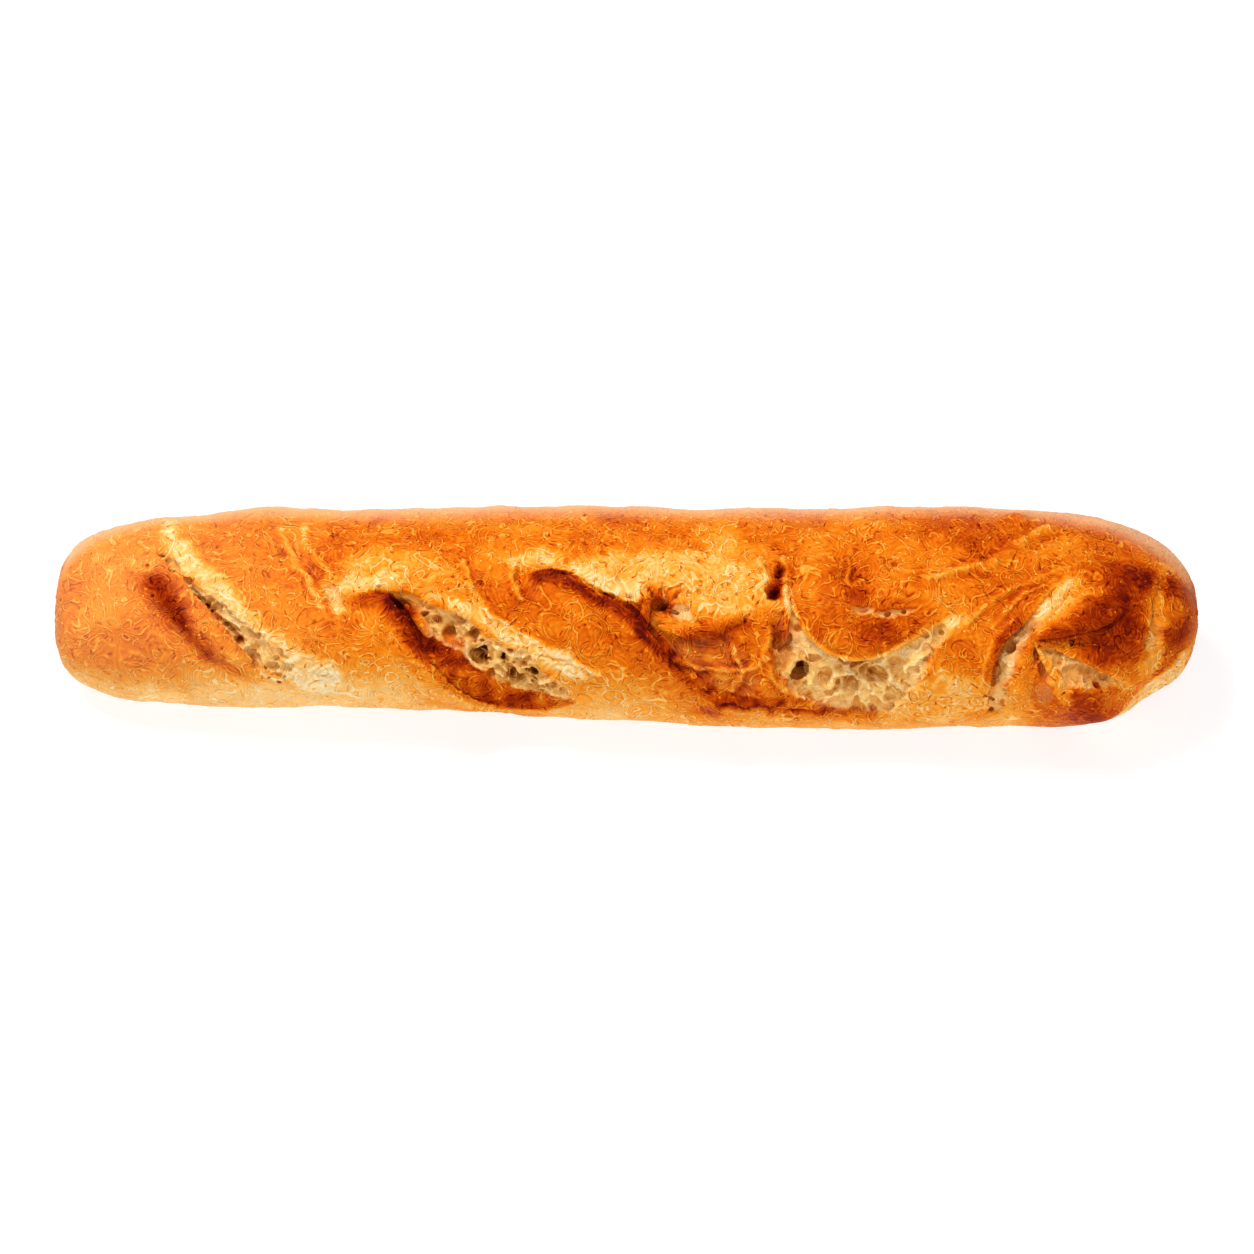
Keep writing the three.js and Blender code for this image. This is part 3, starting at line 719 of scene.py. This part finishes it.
def fill_slab(slab):
    """Works out the field for a slice of the grid along X."""
    x, y, z = np.meshgrid(grid_axes[0][slab], grid_axes[1], grid_axes[2], indexing="ij")
    height, s = loaf_coordinates(x, y, z)
    distances = height.astype(np.float32)
    near = np.abs(height) < BAND
    x, s, height = x[near], s[near], height[near]
    over_skin = height - read(skin, x, s)
    value = height - read(ground, x, s)
    for roof in roofs:
        rows, columns = roof["where"]
        inside = (x > map_x[rows.start]) & (x < map_x[rows.stop - 1])
        inside &= (s > map_s[columns.start]) & (s < map_s[columns.stop - 1])
        distance = roof_distance(roof, x[inside], s[inside], over_skin[inside])
        value[inside] = least(value[inside], distance, 0.5)
    distances[near] = value
    field[slab] = distances


for start in range(0, grid_shape[0], SLAB):
    fill_slab(slice(start, start + SLAB))


def local(low, high):
    """A box of the field round two corners, and its points."""
    first = np.clip(((low - GRID_LOW) / VOXEL).astype(int), 0, grid_shape - 1)
    last = np.clip(((high - GRID_LOW) / VOXEL).astype(int) + 2, 1, grid_shape)
    axes = [grid_axes[i][first[i]:last[i]] for i in range(3)]
    part = np.s_[first[0]:last[0], first[1]:last[1], first[2]:last[2]]
    return part, np.stack(np.meshgrid(*axes, indexing="ij"), axis=-1)


def add_rod(start, end, radius_start, radius_end, blend=0.4):
    """Adds a round rod with round ends to the field."""
    reach = max(radius_start, radius_end) + 1.5
    part, points = local(np.minimum(start, end) - reach, np.maximum(start, end) + reach)
    way = end - start
    share = np.clip(((points - start) @ way) / (way @ way + 1e-9), 0, 1)
    gap = np.linalg.norm(points - start - share[..., None] * way, axis=-1)
    rod = gap - radius_start - (radius_end - radius_start) * share
    field[part] = least(field[part], rod, blend)


def carve(centre, radii, turn, blend=0.35):
    """Takes an ellipsoid out of the field. turn has its axes as rows."""
    reach = max(radii) + 1
    part, points = local(centre - reach, centre + reach)
    apart = (points - centre) @ turn.T / radii
    hollow = (np.linalg.norm(apart, axis=-1) - 1) * min(radii)
    rough = noise(points.reshape(-1, 3), min(radii) + 1, 76).reshape(hollow.shape)
    hollow += 0.35 * min(radii) * rough
    field[part] = -least(-field[part], hollow, blend)


def add_roll(path, radii, heights, seed, rough=0.25):
    """A roll of crust: rods from point to point, whose size a noise makes uneven."""
    points = smooth_path(path, 1.2)
    t = np.linspace(0, 1, len(points))
    places = crust_point(points[:, 0], points[:, 1], along(heights, t))
    size = along(radii, t) * (1 + rough * noise(places, 2.5, 40 + seed))
    for i in range(len(points) - 1):
        add_rod(places[i], places[i + 1], size[i], size[i + 1])


rng = np.random.default_rng(SEED)


def random_turn():
    return np.linalg.qr(rng.normal(size=(3, 3)))[0]


def carve_cells():
    """Gas cells: the large ones in their places, and small ones all over the bared crumb."""
    for (x, s), radius, depth in CELLS:
        carve(crust_point(x, s, -depth), radius * np.array([1.15, 1, 0.85]), random_turn())
    spots = np.argwhere(bare * (1 - toasted) > 0.6)
    for i, j in spots[rng.choice(len(spots), SMALL_CELLS, replace=False)]:
        radius = 0.4 + 1.3 * rng.random() ** 3
        height = float(ground[i, j] - skin[i, j]) + radius * rng.uniform(-0.6, 0.3)
        shape = radius * np.array([rng.uniform(0.9, 1.7), 1, 0.8])
        carve(crust_point(map_x[i], map_s[j], height), shape, random_turn())


def carve_pores():
    """Pinholes in the young crust beside the slashes, and a few in the rest of the crust."""
    for path, reach, count in PORES:
        points = smooth_path(path)
        for _ in range(count):
            x, s = points[rng.integers(len(points))] + rng.normal(size=2) * reach
            radius = rng.uniform(0.3, 0.7)
            shape = radius * np.array([rng.uniform(1, 1.8), 1, 1.4])
            carve(crust_point(x, s, -0.2 * radius), shape, random_turn(), 0.2)


carve_cells()
carve_pores()
for number, roll in enumerate(ROLLS):
    add_roll(*roll, seed=number)

# The flat sole: what is under the floor is taken off, with a rounded edge.
above_floor = grid_axes[2][None, None, :].astype(np.float32)
field[:] = -least(-field, above_floor, 1.2)


# ---- from the field to a mesh

def polygonise():
    grid = vdb.FloatGrid(background=float(BAND))
    grid.copyFromArray(np.clip(field, -KEPT_BAND, KEPT_BAND))
    points, triangles, quads = grid.convertToPolygons(isovalue=0.0, adaptivity=0.0)
    return GRID_LOW + points * VOXEL, triangles, quads


def shelter(points, normals, reach):
    """0 where the field is clear `reach` out from the surface, up to 1 in clefts."""
    places = np.clip((points + reach * normals - GRID_LOW) / VOXEL, 0, grid_shape - 1.001)
    corner = places.astype(int)
    share = places - corner
    clear = np.zeros(len(points))
    for step in itertools.product((0, 1), repeat=3):
        weight = np.where(step, share, 1 - share).prod(axis=1)
        clear += weight * field[tuple((corner + step).T)]
    return 1 - np.clip(clear / reach, 0, 1)


def add_object(name, data):
    item = bpy.data.objects.new(name, data)
    bpy.context.scene.collection.objects.link(item)
    return item


def smooth_slope(axis):
    """How far the smooth loaf's normal points along one axis, by differences."""
    step = np.eye(3)[axis]
    ahead, behind = (loaf_coordinates(*(points + way * step).T)[0] for way in (1, -1))
    return (ahead - behind) / 2


points, triangles, quads = polygonise()
mesh = bpy.data.meshes.new("baguette_loaf")
mesh.from_pydata(points.tolist(), [], quads.tolist() + triangles.tolist())
mesh.shade_smooth()
normals = np.empty(points.shape, np.float32)
mesh.vertices.foreach_get("normal", normals.ravel())

# What the loaf and the maps say of each vertex.
height, s = loaf_coordinates(*points.T)
x = points[:, 0]
depth = read(skin, x, s) - height
sunk = smoothstep(-0.6, 0.2, depth)  # 0 on top of the ears, which hang over bared crumb
bareness = read(bare, x, s) * sunk
on_crust = 1 - smoothstep(0.2, 0.8, bareness)
slope_x, slope_y = np.abs(smooth_slope(0)), smooth_slope(1)
off_tips = smoothstep(0.97, 0.75, slope_x)  # 0 at both tips, where every s meets
fresh = read(young, x, s) * off_tips / ALL_YOUNG
toast = read(toasted, x, s)
curl = read(curls, x, s) * on_crust
wrinkle = read(wrinkles, x, s) * on_crust
plates = read((plate_tone - 0.5) * smoothstep(0, 3, plate_gap), x, s) * off_tips
patches = read(ridges(PATCHES, warp=1.2) + burnt, x, s)
# deep: large, deep gas cells, which the colours darken as painted shade in the holes.
deep = read(ridges([([place], radius, 0.08 * low) for place, radius, low in CELLS if low > 4]), x, s)
lighter = read(paler, x, s)
# sheltered: how enclosed each vertex is; the colours use it for painted shade in clefts.
sheltered = shelter(points, normals, SHELTER_REACH)

# Fine relief of the crust: curls, wrinkles and grain, calmer low on the sides and the back.
fine = 0.05 * noise(points, 2.2, 51) + 0.03 * noise(points, 1.2, 52)
lively = 0.3 + 0.7 * smoothstep(64, 50, s) * smoothstep(-38, -20, s)
fine += lively * (0.24 * curl + (0.06 + 0.34 * fresh) * (wrinkle - 0.4))
above_sole = smoothstep(0, 2, points[:, 2])
points = points + normals * (fine * above_sole)[:, None]
points[:, 2] = np.maximum(points[:, 2], 0)

# The loaf's sides are paler, apart from its round end and from what is burnt or toasted.
side_start = np.interp(x, *SIDE_START)
side = smoothstep(side_start, side_start + 25, np.abs(s)) * smoothstep(124, 112, np.abs(x + 4))
side = np.maximum(side, smoothstep(34, 56, np.abs(s)) * smoothstep(-110, -125, x))
side *= off_tips * (1 - np.clip(3 * np.maximum(patches, 0) + toast * bareness, 0, 1))

# How far the crust is baked, from 0, pale, to 1, burnt.
bake = BASE_BAKE + 0.07 * octaves(points, 17, 3, 61) + 0.1 * plates + patches
# Deep gas cells are darker here: painted shade.
bake += 0.18 * toast * bareness * noise(points, 4, 71) + 0.4 * deep
bake += 0.04 * smoothstep(30, 140, x) - np.interp(x, *SIDE_PALER) * side
# The wrinkles' paler tops and darker creases are partly their own tone, partly painted highlight and painted
# shade.
bake -= 0.3 * fresh + lighter + 0.08 * curl + (0.04 + 0.16 * fresh) * (wrinkle - 0.5)
# Clefts of the crust are darker: painted shade.
bake += 0.14 * sheltered * on_crust
bake -= 0.14 * smoothstep(0, 0.4, bareness) * smoothstep(1, 0.6, bareness) * (1 - toast)

# Where crumb shows, where it is a cell's wall, and how dark it is: its own tone, with painted shade in
# clefts and deep down.
crumb = bareness * smoothstep(0.1, 1.2, depth + 0.5 * noise(points, 2.5, 66)) * (1 - 0.95 * toast)
crumb *= 1 - smoothstep(0.02, 0.1, read(burnt, x, s))
wall = read(walls, x, s) * bareness
shade = BASE_SHADE + 0.4 * sheltered ** 2 + 0.5 * smoothstep(3, 7, depth)
# Hollows and deep gas cells of the crumb are darker, painted shade; veins are paler.
shade += 0.26 * read(hollows, x, s) + deep - 1.5 * lighter

# The soft painted sheen of the upper edge and of the blunt end, a pale pinkish tint.
tan = smoothstep(0.35, 0.8, slope_y + 0.6 * slope_x) * smoothstep(-44, -31, s) * off_tips
tan = np.maximum(tan, np.interp(x, *END_SHEEN) * (1 - np.clip(4 * patches, 0, 1)))

placed = (points + [0, CENTRE_SHIFT, 0]) * MM
mesh.vertices.foreach_set("co", placed.astype(np.float32).ravel())
mesh.update()
loaf = add_object("baguette_loaf", mesh)

# The values that the material reads from the vertices.
LAYERS = dict(bake=bake, crumb=crumb, wall=wall, shade=shade, tan=tan, fresh=fresh)
for name, values in LAYERS.items():
    layer = mesh.attributes.new(name, "FLOAT", "POINT")
    layer.data.foreach_set("value", np.clip(values, 0, 1).astype(np.float32))


# ---- materials

class Graph:
    """Adds nodes to a material, most of them in one line each."""

    def __init__(self, name):
        self.material = bpy.data.materials.new(name)
        self.material.use_nodes = True
        self.nodes = self.material.node_tree.nodes
        self.links = self.material.node_tree.links
        self.shader = next(n for n in self.nodes if n.type == "BSDF_PRINCIPLED")

    def set(self, socket, value):
        if isinstance(value, bpy.types.NodeSocket):
            self.links.new(value, socket)
        else:
            socket.default_value = value

    def finish(self, inputs):
        for name, value in inputs.items():
            self.set(self.shader.inputs[name], value)
        return self.material

    def node(self, kind, inputs=None, **settings):
        node = self.nodes.new("ShaderNode" + kind)
        for name, value in settings.items():
            setattr(node, name, value)
        for name, value in (inputs or {}).items():
            self.set(node.inputs[name], value)
        return node

    def math(self, operation, *values):
        return self.node("Math", dict(enumerate(values)), operation=operation).outputs[0]

    def ramp(self, value, low, high, start=0, end=1):
        inputs = {"Value": value, "From Min": low, "From Max": high, "To Min": start, "To Max": end}
        return self.node("MapRange", inputs, interpolation_type="SMOOTHSTEP").outputs[0]

    def mix(self, share, a, b):
        node = self.node("Mix", data_type="RGBA")
        self.set(node.inputs[0], share)
        self.set(node.inputs[6], a)
        self.set(node.inputs[7], b)
        return node.outputs[2]

    def colours(self, value, stops):
        node = self.node("ValToRGB", {"Fac": value})
        while len(node.color_ramp.elements) < len(stops):
            node.color_ramp.elements.new(0.5)
        for element, (place, colour) in zip(node.color_ramp.elements, stops):
            element.position = place
            element.color = srgb(*colour)
        return node.outputs[0]

    def centred(self, value, swing):
        """The value, from 0 to 1, as an offset of up to half of swing either way."""
        return self.math("MULTIPLY_ADD", value, swing, -0.5 * swing)

    def noise(self, vector, size, detail):
        return self.node("TexNoise", {"Vector": vector, "Scale": 1 / size, "Detail": detail}).outputs[0]


def srgb(red, green, blue):
    """A colour given by its 0 to 255 screen values."""
    def linear(value):
        value /= 255
        return value / 12.92 if value <= 0.04045 else ((value + 0.055) / 1.055) ** 2.4
    return (linear(red), linear(green), linear(blue), 1)


# Colours by their 0 to 255 screen values. Stops: the baking or shade, and the colour there.
# The pale pinkish colour of the painted sheen.
SHEEN_COLOUR = (250, 192, 140)
HONEY_CRUMB = (234, 164, 68)
PALE_WALL = (252, 208, 122)
SHINE = 0.02
CRUST_STOPS = [
    (0, (253, 228, 176)),
    (0.15, (251, 211, 144)),
    (0.3, (249, 189, 102)),
    (0.45, (244, 158, 48)),
    (0.58, (235, 130, 20)),
    (0.7, (216, 98, 6)),
    (0.8, (184, 66, 2)),
    (0.9, (146, 38, 0)),
    (1, (92, 12, 4)),
]
CRUMB_STOPS = [
    (0, (253, 225, 168)),
    (0.3, (246, 194, 112)),
    (0.6, (214, 148, 66)),
    (0.85, (160, 80, 20)),
    (1, (88, 32, 4)),
]


def threads(g, place, cell, spacing, width, size, low):
    """Threads on rings round the middles of cells, broken off where a noise is low. Gives
    1 on a thread, and 1 beside it, which the material uses for painted shade."""
    cells = g.node("TexVoronoi", {"Vector": place, "Scale": 1 / cell})
    turns = g.math("MULTIPLY", cells.outputs["Distance"], cell / spacing)
    gap = g.math("MULTIPLY", g.math("PINGPONG", turns, 0.5), spacing / width)
    kept = g.ramp(g.noise(place, size, 1), low, low + 0.05)
    on_it, beside_it = g.ramp(gap, 0.25, 0.7, 1, 0), g.ramp(gap, 0.7, 1.7, 1, 0)
    return g.math("MULTIPLY", on_it, kept), g.math("MULTIPLY", beside_it, kept)


def shifted(g, place, offset):
    return g.node("VectorMath", {0: place, 1: (offset, offset, offset)}, operation="ADD").outputs[0]


def bread_material():
    g = Graph("baked_crust_and_crumb")
    object_place = g.node("TexCoord").outputs["Object"]
    place = g.node("Mapping", {"Vector": object_place, "Scale": (1000, 1000, 1000)}).outputs[0]
    layers = [g.node("Attribute", attribute_name=name).outputs["Fac"] for name in LAYERS]
    bake, crumb, wall, shade, tan, fresh = layers

    bend = g.node("TexNoise", {"Vector": place, "Scale": 1 / 9, "Detail": 0.6}).outputs["Color"]
    bend = g.node("VectorMath", {0: bend, 1: (0.5, 0.5, 0.5)}, operation="SUBTRACT").outputs[0]
    bent = g.node("VectorMath", {0: bend, 1: (9, 9, 9), 2: place}, operation="MULTIPLY_ADD").outputs[0]
    mottle = g.noise(place, 5, 3)
    grain = g.noise(place, 0.8, 2)
    # Pale raised threads, their paleness partly a painted highlight, with painted shade beside them.
    long_threads = threads(g, bent, 9.5, 2.3, 0.38, 4.4, 0.47)
    short_threads = threads(g, shifted(g, bent, 41), 5, 1.5, 0.32, 2.6, 0.48)
    thread_and_glint, thread_shade = (g.math("MAXIMUM", *pair) for pair in zip(long_threads, short_threads))
    crack = threads(g, shifted(g, bent, 63), 7, 2.3, 0.34, 2.2, 0.52)[0]
    ripples = threads(g, shifted(g, bent, 17), 8, 1, 0.5, 3, 0.4)[0]
    # Rare pale specks: painted glints, also slightly raised.
    cells = g.node("TexVoronoi", {"Vector": place, "Scale": 1 / 1.8})
    rare = g.ramp(g.node("SeparateColor", {0: cells.outputs["Color"]}).outputs[0], 0.84, 0.88)
    painted_glint = g.math("MULTIPLY", g.ramp(cells.outputs["Distance"], 0.1, 0.2, 1, 0), rare)

    level = g.math("ADD", bake, g.centred(mottle, 0.18))
    for part, swing in ((grain, 0.12), (ripples, -0.06)):
        level = g.math("ADD", level, g.centred(part, swing))
    thread_and_glint_drop = g.ramp(bake, 0.6, 0.92, -0.26, -0.08)
    crack_drop = g.ramp(fresh, 0.1, 1, 0.14, 0.34)
    for part, drop in ((thread_and_glint, thread_and_glint_drop), (thread_shade, 0.06), (crack, crack_drop), (painted_glint, -0.34)):
        level = g.math("MULTIPLY_ADD", part, drop, level)
    crust = g.colours(level, CRUST_STOPS)
    # Painted sheen, a pale pinkish tint, over the crust's colour.
    crust = g.mix(g.math("MULTIPLY", tan, 0.72), crust, srgb(*SHEEN_COLOUR))

    crumb_level = g.math("ADD", shade, g.centred(mottle, 0.24))
    # The crumb takes the same threads: paler on them, with painted shade beside them.
    for part, drop in ((thread_and_glint, -0.26), (thread_shade, 0.1)):
        crumb_level = g.math("MULTIPLY_ADD", part, drop, crumb_level)
    inner = g.colours(crumb_level, CRUMB_STOPS)
    inner = g.mix(g.ramp(g.noise(place, 7, 2), 0.48, 0.66, 0, 0.4), inner, srgb(*HONEY_CRUMB))
    inner = g.mix(g.ramp(wall, 0.4, 0.85, 0, 0.75), inner, srgb(*PALE_WALL))
    colour = g.mix(crumb, crust, inner)

    roughness = g.ramp(g.noise(place, 3, 2), 0.3, 0.7, 0.34, 0.52)
    roughness = g.math("ADD", roughness, g.math("MULTIPLY", crumb, 0.25))
    relief = g.math("MULTIPLY", grain, 0.08)
    for part, height in ((thread_and_glint, 0.15), (painted_glint, 0.1), (crack, -0.1), (ripples, 0.06)):
        relief = g.math("MULTIPLY_ADD", part, height, relief)
    bump = g.node("Bump", {"Height": relief, "Strength": 1, "Distance": MM})
    return g.finish({"Base Color": colour, "Roughness": roughness, "Normal": bump.outputs[0],
                     "Specular IOR Level": SHINE})


mesh.materials.append(bread_material())
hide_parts("baguette")
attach(loaf, "root")


# ---- floor, lights and camera

FLOOR_SIZE = 8.0
FLOOR_GREY = (0.3, 0.3, 0.3, 1)
WHITE = (1, 1, 1, 1)
FLOOR_GLOW = 0.78  # the floor's own light, which makes it as white as the photo's background
SKY_STRENGTH = 0.45


def add_floor():
    bpy.ops.mesh.primitive_plane_add(size=FLOOR_SIZE)
    floor = bpy.context.object
    floor.name = "floor"
    pale = Graph("pale_floor").finish({"Base Color": FLOOR_GREY, "Roughness": 1,
                                       "Emission Color": WHITE, "Emission Strength": FLOOR_GLOW})
    floor.data.materials.append(pale)


def aim(item, place, target):
    item.location = place
    item.rotation_euler = (Vector(target) - Vector(place)).to_track_quat("-Z", "Y").to_euler()


def add_light(name, place, size, power, target=(0, 0, 0.02)):
    light = bpy.data.lights.new(name, "AREA")
    light.shape = "RECTANGLE"
    light.size, light.size_y = size
    light.energy = power
    aim(add_object(name, light), place, target)


def add_sky():
    world = bpy.data.worlds.new("studio")
    world.use_nodes = True
    background = world.node_tree.nodes["Background"]
    background.inputs["Color"].default_value = WHITE
    background.inputs["Strength"].default_value = SKY_STRENGTH
    bpy.context.scene.world = world


CAMERA_ELEVATION = np.radians(55)
CAMERA_AZIMUTH = np.radians(1.3)
LENS = 135.0
SENSOR = 36.0
PHOTO_SIDE = 1254
LOAF_PIXELS = 1142  # the loaf's length in the view
TARGET = np.array([0.6, -4.9 + CENTRE_SHIFT, 20])


def add_camera():
    """Looks down on the loaf so that its length spans LOAF_PIXELS of PHOTO_SIDE."""
    flat, rise = np.cos(CAMERA_ELEVATION), np.sin(CAMERA_ELEVATION)
    back = np.array([np.sin(CAMERA_AZIMUTH) * flat, -np.cos(CAMERA_AZIMUTH) * flat, rise])
    distance = LENGTH / LOAF_PIXELS * PHOTO_SIDE * LENS / SENSOR
    data = bpy.data.cameras.new("camera")
    data.lens, data.sensor_width, data.sensor_fit = LENS, SENSOR, "HORIZONTAL"
    data.clip_end = 20
    camera = add_object("camera", data)
    aim(camera, (TARGET + back * distance) * MM, TARGET * MM)
    bpy.context.scene.camera = camera


add_floor()
add_sky()
add_light("key", (-0.45, 0.3, 1.1), size=(0.4, 0.4), power=12.5)
add_light("fill", (0.3, -1.1, 0.8), size=(1.4, 0.9), power=5.8)
add_camera()
bpy.context.scene.view_settings.view_transform = "Standard"
